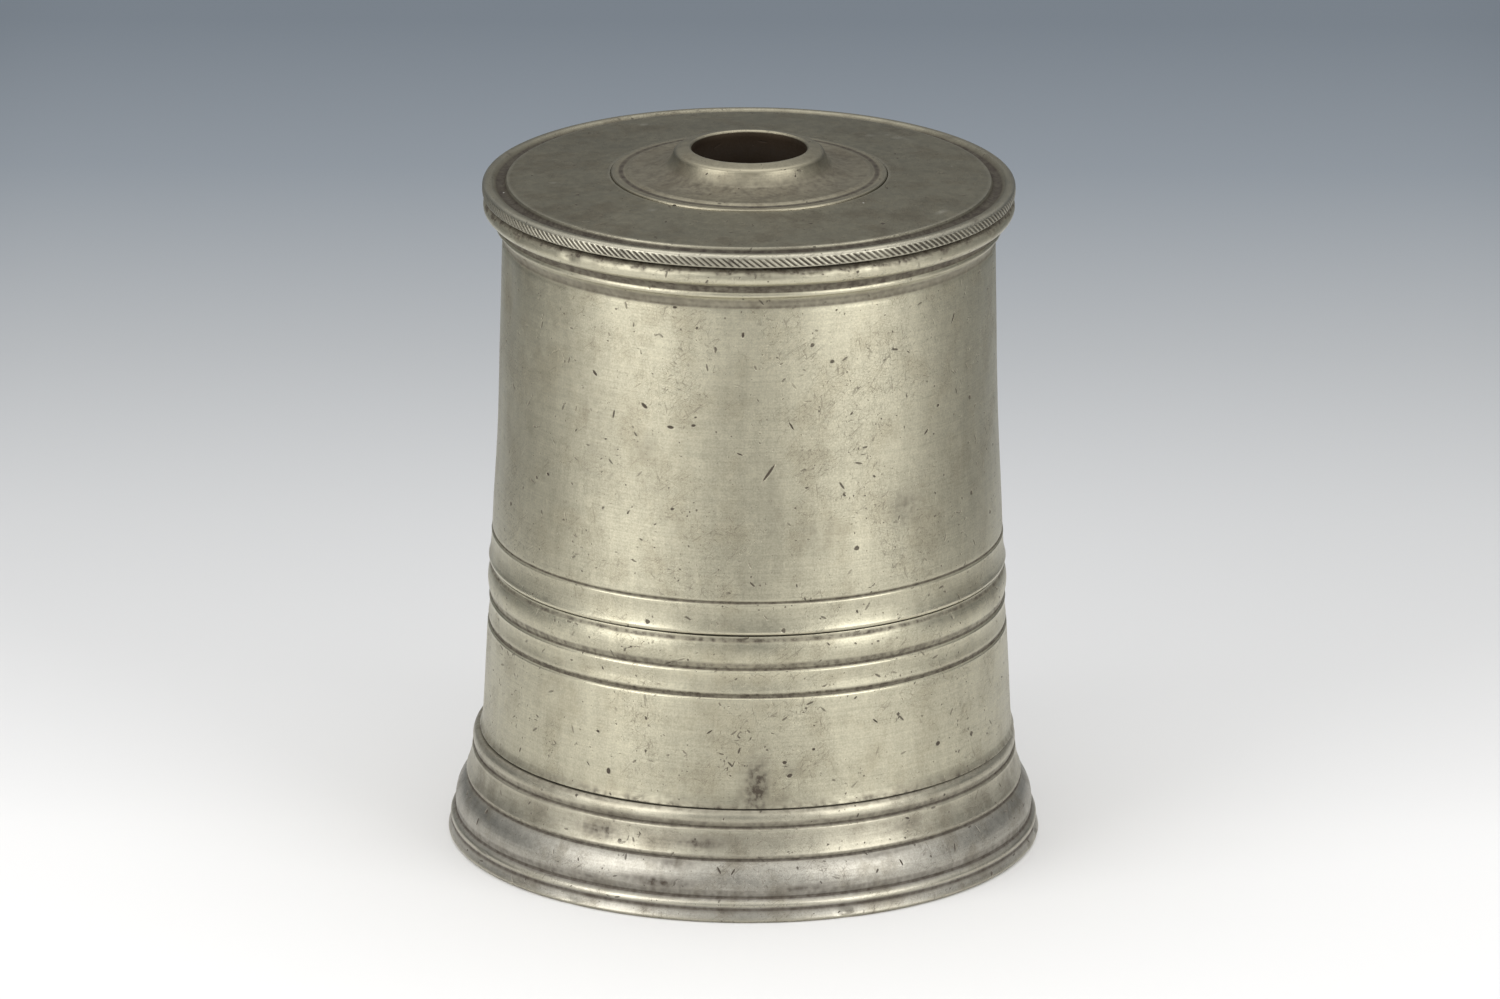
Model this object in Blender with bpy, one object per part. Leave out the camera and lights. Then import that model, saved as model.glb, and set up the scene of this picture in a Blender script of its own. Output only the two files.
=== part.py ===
"""Pewter quart vessel of tankard form with a loose lid that carries a collared opening.

Every casting is turned, so each piece is one closed outline spun round +Z.
The frame: origin at the centre of the foot on the table, +Z up, the side seen first at -Y.
Outlines are in millimetres, listed anticlockwise as (radius, height); the spin turns them into metres.
"""

import math

import bmesh
import bpy
from mathutils import Vector

MM = 0.001
SEGMENTS = 48  # facets round every turned piece

# Driving dimensions, in millimetres
FOOT_RADIUS = 65.2  # widest point of the vessel
LIP_RADIUS = 57.9
LIP_TOP = 145.5
MOUTH_RADIUS = 52.6
LID_RADIUS = 58.1
COLLAR_TOP = 156.3
HOLE_RADIUS = 12.6
FLANGE_RADIUS = 29.9  # edge of the collar's flange
GAP = 0.3  # clearance between pieces that are soldered together or rest on each other

DRUM_WALL = 1.6
FOOT_WALL = 2.3
LID_WALL = 2.2
BEZEL_WALL = 1.6
DISC_THICKNESS = 2.0

# Heights of the joints between the castings
DRUM_JOINT = 62.8  # the upper drum meets the lower drum in the quirk over the middle reed
LAP_TOP = 68.0  # top of the lower drum's spigot, inside the upper drum
FOOT_JOINT = 23.8  # the lower drum meets the foot just above its astragal
DISC_TOP = 19.6  # inside floor of the vessel
SPIGOT_BOTTOM = 17.4  # lower end of the drum's spigot, inside the foot

# Radius and height of the drum's outer face where its taper changes
NECK = (53.8, 134.6)
DRUM_SHOULDER = (54.2, 117.0)
DRUM_MIDDLE = (54.8, 94.0)
OVER_BAND = (56.0, 70.6)
UNDER_BAND = (57.1, 48.4)
OVER_FOOT = (58.1, 28.0)

LAP_RADIUS = 55.7  # bore of the upper drum round the lower drum's spigot
DISC_BORE = 55.4  # bore of the lower drum round the bottom disc
FOOT_BORE = 57.0  # bore of the foot round the lower drum's spigot
LID_BORE = 14.6  # hole in the lid for the collar's spigot
FOOT_RING_INNER = 61.4  # inner edge of the flat ring that stands on the table

LID_SEAT = LIP_TOP + GAP  # underside of the lid's rim
FIELD_EDGE = (52.8, 149.0)  # where the lid's flat field starts
FIELD_UNDERSIDE = FIELD_EDGE[1] - LID_WALL
RECESS_FLOOR = 149.4  # the collar's flange lies in a shallow recess turned in the lid
RECESS_UNDERSIDE = RECESS_FLOOR - 1.7
COLLAR_BOTTOM = 146.6  # lower end of the collar's spigot
BEZEL_RADIUS = 52.1
BEZEL_BOTTOM = 138.0


def arc(start, end, bulge, steps):
    """Points of an arc after its start. Bulge is its rise over the chord, positive to the right."""
    a, b = Vector(start), Vector(end)
    chord = b - a
    half = chord.length / 2
    along = chord.normalized()
    right = Vector((along.y, -along.x)) * math.copysign(1, bulge)
    radius = (half * half + bulge * bulge) / (2 * abs(bulge))
    centre = (a + b) / 2 + right * (abs(bulge) - radius)
    spread = math.asin(half / radius)
    angles = [spread * (2 * i / steps - 1) for i in range(1, steps + 1)]
    return [tuple(centre + right * radius * math.cos(t) + along * radius * math.sin(t)) for t in angles]


def outline(start, *moves):
    """A closed outline. Each move is a point, or (point, bulge, steps) for an arc that ends at the point."""
    points = [start]
    for move in moves:
        if isinstance(move[0], tuple):
            point, bulge, steps = move
            points += arc(points[-1], point, bulge, steps)
        else:
            points.append(move)
    return points


def inset(point, wall):
    """The point on the inner face that lies across the wall from a point on the outer face."""
    return (point[0] - wall, point[1])


def finished(name, shape, body, metal):
    """Turn a bmesh into a smooth-shaded object on its body."""
    mesh = bpy.data.meshes.new(name)
    shape.to_mesh(mesh)
    shape.free()
    mesh.materials.append(metal)
    mesh.shade_smooth()
    mesh.set_sharp_from_angle(angle=math.radians(30))
    piece = bpy.data.objects.new(name, mesh)
    piece.parent = body
    bpy.context.scene.collection.objects.link(piece)
    return piece


def turned(name, points, body, metal):
    """One closed solid: the outline spun once round +Z."""
    shape = bmesh.new()
    corners = [shape.verts.new((radius * MM, 0, height * MM)) for radius, height in points]
    edges = [shape.edges.new(pair) for pair in zip(corners, corners[1:] + corners[:1])]
    bmesh.ops.spin(
        shape,
        geom=corners + edges,
        cent=(0, 0, 0),
        axis=(0, 0, 1),
        angle=math.tau,
        steps=SEGMENTS,
        use_merge=True,
    )
    bmesh.ops.recalc_face_normals(shape, faces=shape.faces)
    return finished(name, shape, body, metal)


def upper_drum(body, metal):
    """Upper wall: rounded lip, cove and thin bead under it, and the top fillet of the middle band."""
    points = outline(
        (LAP_RADIUS, DRUM_JOINT),
        (56.5, DRUM_JOINT),
        ((56.6, 64.2), 0.25, 2),
        ((56.2, 69.5), -0.18, 3),
        (55.7, 70.0),
        OVER_BAND,
        DRUM_MIDDLE,
        DRUM_SHOULDER,
        NECK,
        ((54.7, 138.2), -0.5, 3),
        ((54.9, 139.6), 0.4, 3),
        ((56.6, 141.5), -0.5, 3),
        ((55.8, LIP_TOP), LIP_RADIUS - 56.2, 5),
        (MOUTH_RADIUS, LIP_TOP),
        (MOUTH_RADIUS, 139.0),
        inset(DRUM_SHOULDER, DRUM_WALL),
        inset(DRUM_MIDDLE, DRUM_WALL),
        (OVER_BAND[0] - DRUM_WALL, LAP_TOP + GAP),
        (LAP_RADIUS, LAP_TOP + GAP),
    )
    return turned("upper_drum", points, body, metal)


def lower_drum(body, metal):
    """Lower wall: the roll and lower fillet of the middle band, with a spigot at each end."""
    points = outline(
        (DISC_BORE, SPIGOT_BOTTOM),
        (FOOT_BORE - GAP, SPIGOT_BOTTOM),
        (FOOT_BORE - GAP, FOOT_JOINT + GAP),
        (58.9, FOOT_JOINT + GAP),
        ((58.2, 26.8), -0.15, 3),
        OVER_FOOT,
        UNDER_BAND,
        (56.6, 48.8),
        (56.6, 49.2),
        ((56.9, 50.2), 0.15, 2),
        ((56.8, 54.4), -0.18, 3),
        (56.3, 55.0),
        ((56.2, 62.0), 0.75, 6),
        (56.2, DRUM_JOINT - GAP),
        (LAP_RADIUS - GAP, DRUM_JOINT - GAP),
        (LAP_RADIUS - GAP, LAP_TOP),
        (OVER_BAND[0] - DRUM_WALL, LAP_TOP),
        inset(UNDER_BAND, DRUM_WALL),
        (DISC_BORE, 24.0),
    )
    return turned("lower_drum", points, body, metal)


def foot_skirt(body, metal):
    """Hollow moulded foot: astragal, sloping band, torus, cove, fine bead and a standing edge."""
    points = outline(
        (FOOT_RING_INNER, 0.0),
        (64.6, 0.0),
        (FOOT_RADIUS, 0.7),
        ((64.5, 3.1), -0.1, 2),
        ((64.1, 4.8), 0.35, 3),
        (63.4, 5.3),
        ((60.8, 13.1), 1.15, 7),
        (61.1, 13.5),
        ((61.0, 14.5), 0.15, 2),
        ((59.9, 19.5), -0.2, 3),
        (59.3, 20.0),
        ((59.1, 23.5), 0.55, 5),
        (58.8, FOOT_JOINT),
        (FOOT_BORE, FOOT_JOINT),
        (FOOT_BORE, SPIGOT_BOTTOM - 0.8),
        (60.2 - FOOT_WALL, 15.5),
        (62.5 - FOOT_WALL, 9.0),
        (FOOT_RING_INNER, 3.2),
    )
    return turned("foot_skirt", points, body, metal)


def bottom_disc(body, metal):
    """Flat floor of the vessel, let into the lower drum."""
    radius = (DISC_BORE - GAP) * MM
    shape = bmesh.new()
    bmesh.ops.create_cone(
        shape,
        cap_ends=True,
        segments=SEGMENTS,
        radius1=radius,
        radius2=radius,
        depth=DISC_THICKNESS * MM,
    )
    bmesh.ops.translate(shape, verts=shape.verts, vec=(0, 0, (DISC_TOP - DISC_THICKNESS / 2) * MM))
    return finished("bottom_disc", shape, body, metal)


def lid_plate(body, metal):
    """Lid casting: beaded rim, a channel inside it, and a slightly domed field round the central hole."""
    points = outline(
        (LID_RADIUS - 0.7, LID_SEAT),
        ((LID_RADIUS - 0.1, LID_SEAT + 0.3), 0.1, 2),
        ((LID_RADIUS - 0.1, 148.1), 0.1, 2),
        ((56.8, 148.8), 0.2, 3),
        ((55.5, 148.3), 0.15, 2),
        ((53.1, 148.2), -0.45, 4),
        FIELD_EDGE,
        (FLANGE_RADIUS + GAP, 150.3),
        (FLANGE_RADIUS + GAP, RECESS_FLOOR),
        (LID_BORE, RECESS_FLOOR),
        (LID_BORE, RECESS_UNDERSIDE),
        (FLANGE_RADIUS, RECESS_UNDERSIDE),
        (MOUTH_RADIUS - 0.4, FIELD_UNDERSIDE),
        (MOUTH_RADIUS - 0.4, LID_SEAT),
    )
    return turned("lid_plate", points, body, metal)


def lid_collar(body, metal):
    """Raised collar of the opening: a dished flange edged by two fine rings, and a spigot through the lid."""
    flange_underside = RECESS_FLOOR + GAP
    points = outline(
        (HOLE_RADIUS, COLLAR_BOTTOM),
        (LID_BORE - GAP, COLLAR_BOTTOM),
        (LID_BORE - GAP, flange_underside),
        (FLANGE_RADIUS, flange_underside),
        (FLANGE_RADIUS, 150.4),
        ((29.1, 150.6), 0.15, 2),
        ((26.8, 150.9), -0.25, 3),
        ((25.6, 151.1), 0.15, 2),
        ((19.0, 152.0), -0.35, 3),
        ((17.4, 153.2), -0.25, 2),
        (16.6, 154.6),
        ((15.6, COLLAR_TOP - 0.6), 0.25, 3),
        (HOLE_RADIUS + 0.4, COLLAR_TOP),
        (HOLE_RADIUS, COLLAR_TOP - 0.4),
    )
    return turned("lid_collar", points, body, metal)


def lid_bezel(body, metal):
    """Ring under the lid that drops into the mouth and keeps the lid central."""
    top = FIELD_UNDERSIDE - GAP
    points = [
        (BEZEL_RADIUS - BEZEL_WALL, BEZEL_BOTTOM),
        (BEZEL_RADIUS - 0.5, BEZEL_BOTTOM),
        (BEZEL_RADIUS, BEZEL_BOTTOM + 0.8),
        (BEZEL_RADIUS, top),
        (BEZEL_RADIUS - BEZEL_WALL, top),
    ]
    return turned("lid_bezel", points, body, metal)


def solder_seam(name, corner, inward, upward, body, metal):
    """Ring of solder in the corner between two pieces, with a hollow face. The legs run inward and upward."""
    inner_end = (corner[0] - inward, corner[1])
    upper_end = (corner[0], corner[1] + upward)
    hollow = -0.15 * math.copysign(1, inward * upward)
    face = arc(upper_end, inner_end, hollow, 3)
    return turned(name, [corner, upper_end, *face], body, metal)


def pewter(name, colour, roughness):
    """Cast pewter, a soft grey metal with a warm cast."""
    metal = bpy.data.materials.new(name)
    metal.use_nodes = True
    shader = metal.node_tree.nodes["Principled BSDF"]
    shader.inputs["Base Color"].default_value = (*colour, 1)
    shader.inputs["Metallic"].default_value = 1.0
    shader.inputs["Roughness"].default_value = roughness
    return metal


def body_empty(name):
    empty = bpy.data.objects.new(name, None)
    bpy.context.scene.collection.objects.link(empty)
    return empty


def build_vessel():
    vessel = body_empty("vessel")
    drum_metal = pewter("pewter_drum", (0.52, 0.50, 0.43), 0.32)
    upper_drum(vessel, drum_metal)
    lower_drum(vessel, drum_metal)
    foot_skirt(vessel, pewter("pewter_foot", (0.50, 0.49, 0.44), 0.28))
    bottom_disc(vessel, pewter("pewter_inside", (0.30, 0.28, 0.24), 0.50))

    solder = pewter("vessel_solder", (0.42, 0.41, 0.38), 0.45)
    floor_corner = (DISC_BORE - GAP, DISC_TOP + GAP)
    spigot_corner = (FOOT_BORE - GAP, SPIGOT_BOTTOM - GAP)
    solder_seam("floor_solder", floor_corner, 1.8, 1.6, vessel, solder)
    solder_seam("foot_solder", spigot_corner, 1.6, -1.4, vessel, solder)


def build_lid():
    lid = body_empty("lid")
    lid_metal = pewter("pewter_lid", (0.33, 0.32, 0.27), 0.42)
    lid_plate(lid, lid_metal)
    lid_collar(lid, lid_metal)
    lid_bezel(lid, pewter("pewter_under_lid", (0.30, 0.28, 0.24), 0.50))

    solder = pewter("lid_solder", (0.42, 0.41, 0.38), 0.45)
    bezel_corner = (BEZEL_RADIUS - BEZEL_WALL - GAP, FIELD_UNDERSIDE - GAP)
    collar_corner = (LID_BORE, RECESS_UNDERSIDE - GAP)
    solder_seam("bezel_solder", bezel_corner, 1.6, -1.6, lid, solder)
    solder_seam("collar_solder", collar_corner, -1.8, -1.0, lid, solder)


for old in list(bpy.data.objects):
    bpy.data.objects.remove(old)
build_vessel()
build_lid()
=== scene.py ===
"""Looks for the lidded pewter vessel: finely turned castings, their wear and patina, and a plain studio.

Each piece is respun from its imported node's own outline, so every size comes from the frame.
Lengths are in metres. Angles round the vessel are in degrees, from -Y, the front, towards +X.
"""

import math

import bmesh
import bpy
import numpy as np
from mathutils import Matrix, Vector, noise


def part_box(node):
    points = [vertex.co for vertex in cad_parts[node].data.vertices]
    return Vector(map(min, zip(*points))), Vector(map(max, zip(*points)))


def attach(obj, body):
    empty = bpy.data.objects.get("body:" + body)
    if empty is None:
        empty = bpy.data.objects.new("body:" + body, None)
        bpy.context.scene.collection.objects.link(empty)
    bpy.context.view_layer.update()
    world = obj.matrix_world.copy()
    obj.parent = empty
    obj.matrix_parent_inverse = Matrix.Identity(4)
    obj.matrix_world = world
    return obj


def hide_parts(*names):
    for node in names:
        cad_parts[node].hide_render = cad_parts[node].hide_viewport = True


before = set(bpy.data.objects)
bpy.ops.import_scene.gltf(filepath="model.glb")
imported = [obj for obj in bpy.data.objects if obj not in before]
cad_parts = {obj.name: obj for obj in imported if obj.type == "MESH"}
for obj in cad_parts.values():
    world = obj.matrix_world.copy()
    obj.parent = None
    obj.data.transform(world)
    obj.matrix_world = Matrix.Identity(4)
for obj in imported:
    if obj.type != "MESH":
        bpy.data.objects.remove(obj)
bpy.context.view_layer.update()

MM = 0.001
COLUMNS = 480  # vertices round a turned piece
COLLAR_COLUMNS = 300
SEAM_COLUMNS = 240
FINE_ROW = 1.0 * MM  # longest step along an outline's outer side
COARSE_ROW = 3.0 * MM  # and along its inner side
PATH_STEP = 0.1 * MM  # spacing of the fine outline that the rows are picked from
EASE = 0.12 * MM  # softening of the outline's corners
CORNER = math.radians(40)  # an outline turns more than this only at a real corner
HOLLOW_REACH = 0.9 * MM  # width over which a hollow is told from the surface round it
HOLLOW_DEPTH = 0.16 * MM  # depth at which a hollow is full of patina
CREASE_REACH = 0.52 * MM  # the same for a sharp crease, and for a ridge, painted bright as wear and highlight
CREASE_DEPTH = 0.07 * MM
LINE_ROW = 0.25 * MM  # longest step where a band of settled dirt and painted shade has to stay crisp
LINE_MARGIN = 0.5 * MM
DRUM_ASIDE = 0.6 * MM  # the drum and lid stand this far to +X of the foot's centre
DRUM_RADIUS = 57 * MM  # the drum's usual radius, for laying marks out round it

NICK_COUNT = 240  # milled nicks round the lid's bead
NICK_COLUMNS = 6  # vertices from one nick to the next
NICK_DEPTH = 0.3 * MM
NICK_LEAN = 11  # columns that a nick moves round between the bead's top and bottom


# Outlines


def section(node):
    """A node's outline at +X as rows of (radius, height), anticlockwise, read from its mesh."""
    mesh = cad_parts[node].data
    spots = {}
    for vertex in mesh.vertices:
        x, y, z = vertex.co
        if x > 0 and abs(y) < 1e-6:
            spots[vertex.index] = (round(x, 6), round(z, 6))
    links = {}
    for edge in mesh.edges:
        here, there = (spots.get(index) for index in edge.vertices)
        if here and there and here != there:
            links.setdefault(here, set()).add(there)
            links.setdefault(there, set()).add(here)
    path = [min(links)]
    step = next(iter(links[path[0]]))
    while step != path[0]:
        path.append(step)
        step = next(spot for spot in links[step] if spot != path[-2])
    outline = np.array(path)
    return outline if doubled_area(outline) > 0 else outline[::-1]


def doubled_area(outline):
    after = np.roll(outline, -1, axis=0)
    return float(np.sum(outline[:, 0] * after[:, 1] - outline[:, 1] * after[:, 0]))


def unit(rows):
    return rows / np.maximum(np.linalg.norm(rows, axis=-1, keepdims=True), 1e-12)


def mirrored(direction, chord):
    """The tangent at the other end of a circular arc over the chord."""
    return 2 * np.dot(direction, chord) * chord - direction


def curved(outline):
    """The outline with its faceted arcs made round again, leaving the real corners sharp."""
    chords = np.roll(outline, -1, axis=0) - outline
    along = unit(chords)
    arriving = np.roll(along, 1, axis=0)
    turn = np.arccos(np.clip(np.sum(along * arriving, axis=1), -1, 1))
    tangents = unit(np.roll(outline, -1, axis=0) - np.roll(outline, 1, axis=0))
    points = []
    for i, start in enumerate(outline):
        j = (i + 1) % len(outline)
        leaves = tangents[i] if turn[i] < CORNER else None
        arrives = tangents[j] if turn[j] < CORNER else None
        if leaves is None and arrives is None:
            leaves = arrives = along[i]
        elif leaves is None:
            leaves = mirrored(arrives, along[i])
        elif arrives is None:
            arrives = mirrored(leaves, along[i])
        length = np.linalg.norm(chords[i])
        t = np.linspace(0, 1, max(2, math.ceil(length / PATH_STEP) + 1))[:-1, None]
        points.append(
            (2 * t**3 - 3 * t**2 + 1) * start
            + (t**3 - 2 * t**2 + t) * leaves * length
            + (3 * t**2 - 2 * t**3) * outline[j]
            + (t**3 - t**2) * arrives * length
        )
    return np.concatenate(points)


def evenly_spaced(path, step):
    closed = np.vstack([path, path[:1]])
    at = np.concatenate([[0], np.cumsum(np.linalg.norm(np.diff(closed, axis=0), axis=1))])
    wanted = np.linspace(0, at[-1], round(at[-1] / step), endpoint=False)
    return np.column_stack([np.interp(wanted, at, closed[:, k]) for k in (0, 1)])


def softened(path, reach):
    """The closed path blurred over a distance along itself."""
    frequencies = np.fft.fftfreq(len(path), d=PATH_STEP)
    fade = np.exp(-2 * (math.pi * frequencies * reach) ** 2)[:, None]
    return np.real(np.fft.ifft(np.fft.fft(path, axis=0) * fade, axis=0))


def rows_of(node):
    """The rows to spin: their places, outward normals, lengths along the outline, hollows and creases.

    Both reliefs are positive in a hollow and negative on a ridge. Rows lie closer where the outline bends,
    and where a band of dirt and painted shade crosses it.
    """
    path = softened(evenly_spaced(curved(section(node)), PATH_STEP), EASE)
    ahead = unit(np.roll(path, -1, axis=0) - np.roll(path, 1, axis=0))
    normals = np.column_stack([ahead[:, 1], -ahead[:, 0]])
    hollow = np.sum((softened(path, HOLLOW_REACH) - path) * normals, axis=1) / HOLLOW_DEPTH
    crease = np.sum((softened(path, CREASE_REACH) - path) * normals, axis=1) / CREASE_DEPTH
    heading = np.unwrap(np.arctan2(ahead[:, 1], ahead[:, 0]))
    bend = np.abs(np.diff(heading, append=heading[:1] + math.tau))
    longest = np.where(normals[:, 0] < -0.5, COARSE_ROW, FINE_ROW)
    for low, high, _ in LINES.get(node, ()):
        beside = (path[:, 1] > low - LINE_MARGIN) & (path[:, 1] < high + LINE_MARGIN) & (normals[:, 0] > 0)
        longest = np.where(beside, LINE_ROW, longest)
    cost = np.cumsum(PATH_STEP / longest + bend / math.radians(8))
    keep = np.flatnonzero(np.diff(np.floor(cost), prepend=-1))
    lengths = np.arange(len(path)) * PATH_STEP
    return path[keep], normals[keep], lengths[keep], hollow[keep], crease[keep]


# Bands round the outer side, settled dirt in the grooves and painted shade under the beads, on the collar's
# slope and at the joints: low and high edge and strength
LINES = {
    "upper_drum": (
        (62.0 * MM, 62.8 * MM, 0.85),
        (69.8 * MM, 70.25 * MM, 0.75),
        (138.6 * MM, 139.5 * MM, 0.15),
        (141.3 * MM, 141.8 * MM, 0.6),
        (143.4 * MM, 144.2 * MM, 0.35),
    ),
    "lower_drum": (
        (49.05 * MM, 49.75 * MM, 0.9),
        (55.05 * MM, 56.4 * MM, 0.75),
        (61.3 * MM, 62.0 * MM, 0.85),
    ),
    "lid_collar": ((151.0 * MM, 152.3 * MM, 0.6),),
    "foot_skirt": (
        (4.9 * MM, 6.9 * MM, 0.55),
        (13.05 * MM, 14.0 * MM, 0.6),
        (19.6 * MM, 21.3 * MM, 0.6),
        (23.2 * MM, 24.0 * MM, 0.55),
        (2.9 * MM, 3.5 * MM, 0.45),
    ),
}


# Dents and wear


def noise_at(angles, heights, scale, seed):
    """Smooth noise between about -1 and 1 on the drum's surface, without a seam."""
    spots = zip(np.sin(angles).ravel(), np.cos(angles).ravel(), heights.ravel())
    offset = Vector((seed * 7.3, seed * 3.1, seed * 5.7))
    values = [noise.noise(Vector((s * 0.056, -c * 0.056, z)) * scale + offset) for s, c, z in spots]
    return np.array(values).reshape(angles.shape)


def degrees_from(angles, angle):
    """How far angles in radians lie from an angle in degrees, in degrees from -180 to 180."""
    return (np.degrees(angles) - angle + 180) % 360 - 180


def spot_at(angles, heights, angle, height, wide, high):
    """One soft round spot: 1 at its centre, 0 from about its edge on."""
    across = np.radians(degrees_from(angles, angle)) * DRUM_RADIUS
    return np.exp(-2.5 * ((across / wide) ** 2 + ((heights - height) / high) ** 2))


# Each knock: its angle, height, half width, half height and depth
DRUM_KNOCKS = (
    (-74, 128 * MM, 7 * MM, 16 * MM, 0.35 * MM),
    (38.6, 88 * MM, 6 * MM, 5 * MM, 0.22 * MM),
    (-30, 88 * MM, 9 * MM, 7 * MM, 0.12 * MM),
    (12, 101 * MM, 9 * MM, 12 * MM, 0.10 * MM),
    (118, 80 * MM, 8 * MM, 9 * MM, 0.30 * MM),
    (201, 104 * MM, 11 * MM, 8 * MM, 0.25 * MM),
    (-140, 36 * MM, 7 * MM, 6 * MM, 0.22 * MM),
)
LIP_KNOCKS = (
    (-42, 143.6 * MM, 2.6 * MM, 1.6 * MM, 0.5 * MM),
    (-59, 144.2 * MM, 1.6 * MM, 1.2 * MM, 0.4 * MM),
    (14, 144.6 * MM, 3.0 * MM, 0.9 * MM, 0.35 * MM),
    (96, 143.8 * MM, 2.2 * MM, 1.4 * MM, 0.4 * MM),
    (172, 144.1 * MM, 3.2 * MM, 1.3 * MM, 0.5 * MM),
)
FOOT_KNOCKS = (
    (20, 1.4 * MM, 1.5 * MM, 1.3 * MM, 0.8 * MM),
    (-35, 1.0 * MM, 2.6 * MM, 0.9 * MM, 0.35 * MM),
    (-62, 4.2 * MM, 3.0 * MM, 1.0 * MM, 0.25 * MM),
    (84, 2.0 * MM, 2.0 * MM, 1.4 * MM, 0.5 * MM),
    (150, 1.2 * MM, 3.4 * MM, 1.2 * MM, 0.7 * MM),
    (-118, 10.5 * MM, 3.0 * MM, 2.0 * MM, 0.35 * MM),
)


def knocked(angles, heights, knocks):
    """How far the knocks press the surface in."""
    return sum(depth * spot_at(angles, heights, a, z, w, h) for a, z, w, h, depth in knocks)


def drum_sink(angles, heights):
    waves = 0.10 * MM * noise_at(angles, heights, 28, 1) + 0.03 * MM * noise_at(angles, heights, 110, 2)
    return waves + knocked(angles, heights, DRUM_KNOCKS + LIP_KNOCKS)


def foot_sink(angles, heights):
    waves = 0.08 * MM * noise_at(angles, heights, 28, 1) + 0.04 * MM * noise_at(angles, heights, 150, 3)
    return waves + knocked(angles, heights, FOOT_KNOCKS)


def lid_sink(angles, heights):
    return 0.05 * MM * noise_at(angles, heights, 24, 4) + 0.02 * MM * noise_at(angles, heights, 120, 5)


# Dark smudges of old patina: angle, height, half width, half height and strength
SMUDGES = {
    "upper_drum": (
        (38.6, 88 * MM, 7 * MM, 6 * MM, 0.55),
        (16, 84 * MM, 9 * MM, 5 * MM, 0.22),
        (6, 93 * MM, 4 * MM, 13 * MM, 0.22),
        (-76, 126 * MM, 7 * MM, 12 * MM, 0.45),
        (-42, 143.9 * MM, 2.4 * MM, 1.3 * MM, 1.0),
        (-60, 143.6 * MM, 1.8 * MM, 1.6 * MM, 1.0),
        (-53, 144.2 * MM, 1.2 * MM, 0.9 * MM, 0.8),
        (13, 144.0 * MM, 2.6 * MM, 0.8 * MM, 0.7),
        (66, 143.2 * MM, 2.0 * MM, 1.0 * MM, 0.8),
        (-24, 103 * MM, 5 * MM, 6 * MM, 0.20),
        (-38, 107 * MM, 12 * MM, 22 * MM, 0.16),
        (131, 118 * MM, 12 * MM, 9 * MM, 0.5),
        (-158, 84 * MM, 10 * MM, 7 * MM, 0.5),
    ),
    "lower_drum": (
        (2.2, 28.5 * MM, 4.6 * MM, 10.5 * MM, 1.2),
        (0.5, 26 * MM, 6 * MM, 3.5 * MM, 0.7),
        (10, 33 * MM, 3 * MM, 3 * MM, 0.40),
        (7.5, 26 * MM, 3.4 * MM, 3 * MM, 0.45),
        (98, 38 * MM, 5 * MM, 6 * MM, 0.6),
        (-151, 31 * MM, 4 * MM, 7 * MM, 0.8),
    ),
    "foot_skirt": (
        (-9, 16.6 * MM, 9 * MM, 2.0 * MM, 0.95),
        (-31, 16.6 * MM, 8 * MM, 2.0 * MM, 0.9),
        (-17, 8.0 * MM, 11 * MM, 1.8 * MM, 0.95),
        (-14, 12.0 * MM, 6 * MM, 1.6 * MM, 0.6),
        (-33, 7.0 * MM, 9 * MM, 1.2 * MM, 0.7),
        (12, 7.2 * MM, 12 * MM, 1.3 * MM, 0.7),
        (30, 12.4 * MM, 9 * MM, 1.2 * MM, 0.45),
        (36, 17.2 * MM, 6 * MM, 1.4 * MM, 0.5),
        (110, 8.2 * MM, 12 * MM, 1.8 * MM, 0.8),
        (-125, 16.4 * MM, 12 * MM, 1.8 * MM, 0.7),
        (172, 8.4 * MM, 12 * MM, 1.8 * MM, 0.8),
    ),
    "lid_plate": (
        (-4, 147.2 * MM, 1.0 * MM, 1.2 * MM, 0.9),
        (-28, 147.6 * MM, 1.8 * MM, 0.8 * MM, 0.7),
        (-8, 147.8 * MM, 1.4 * MM, 0.7 * MM, 0.8),
        (24, 147.4 * MM, 2.0 * MM, 0.8 * MM, 0.6),
        (58, 148.6 * MM, 3.0 * MM, 0.8 * MM, 0.7),
        (128, 148.5 * MM, 5.0 * MM, 0.8 * MM, 0.7),
        (-110, 148.6 * MM, 4.0 * MM, 0.8 * MM, 0.7),
    ),
}


def shade_at(node, places, angles, heights):
    """Patina smudges, painted shade and dirt on the lip under the lid, painted shade on the drum over the
    foot, and bands of dirt and painted shade.
    """
    shade = np.zeros_like(angles)
    for angle, height, wide, high, strength in SMUDGES.get(node, ()):
        shade = np.maximum(shade, strength * spot_at(angles, heights, angle, height, wide, high))
    ragged = 1 + 0.35 * noise_at(angles, heights, 300, 11)
    if node == "upper_drum":
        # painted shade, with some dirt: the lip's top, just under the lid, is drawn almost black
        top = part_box(node)[1].z
        under_lid_shade = np.clip((heights - top + 1.9 * MM * ragged) / (1.0 * MM), 0, 1)
        shade = np.maximum(shade, 0.98 * under_lid_shade)
    if node == "lower_drum":
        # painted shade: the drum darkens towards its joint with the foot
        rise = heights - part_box("foot_skirt")[1].z
        shade = np.maximum(shade, 0.85 * np.clip(1 - rise / (2.6 * MM * ragged), 0, 1))
    shade *= 1 + 0.5 * noise_at(angles, heights, 700, 12)
    # the bands: dirt in the grooves, and painted shade under the beads, on the collar's slope and at the
    # joints
    for low, high, strength in LINES.get(node, ()):
        middle, half = (low + high) / 2, (high - low) / 2
        reach = half + 0.35 * MM + 0.1 * MM * noise_at(angles, heights, 90, 13)
        shade = np.maximum(shade, strength * np.clip((reach - np.abs(heights - middle)) / (0.5 * MM), 0, 1))
    return np.clip(shade, 0, 1)


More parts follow.
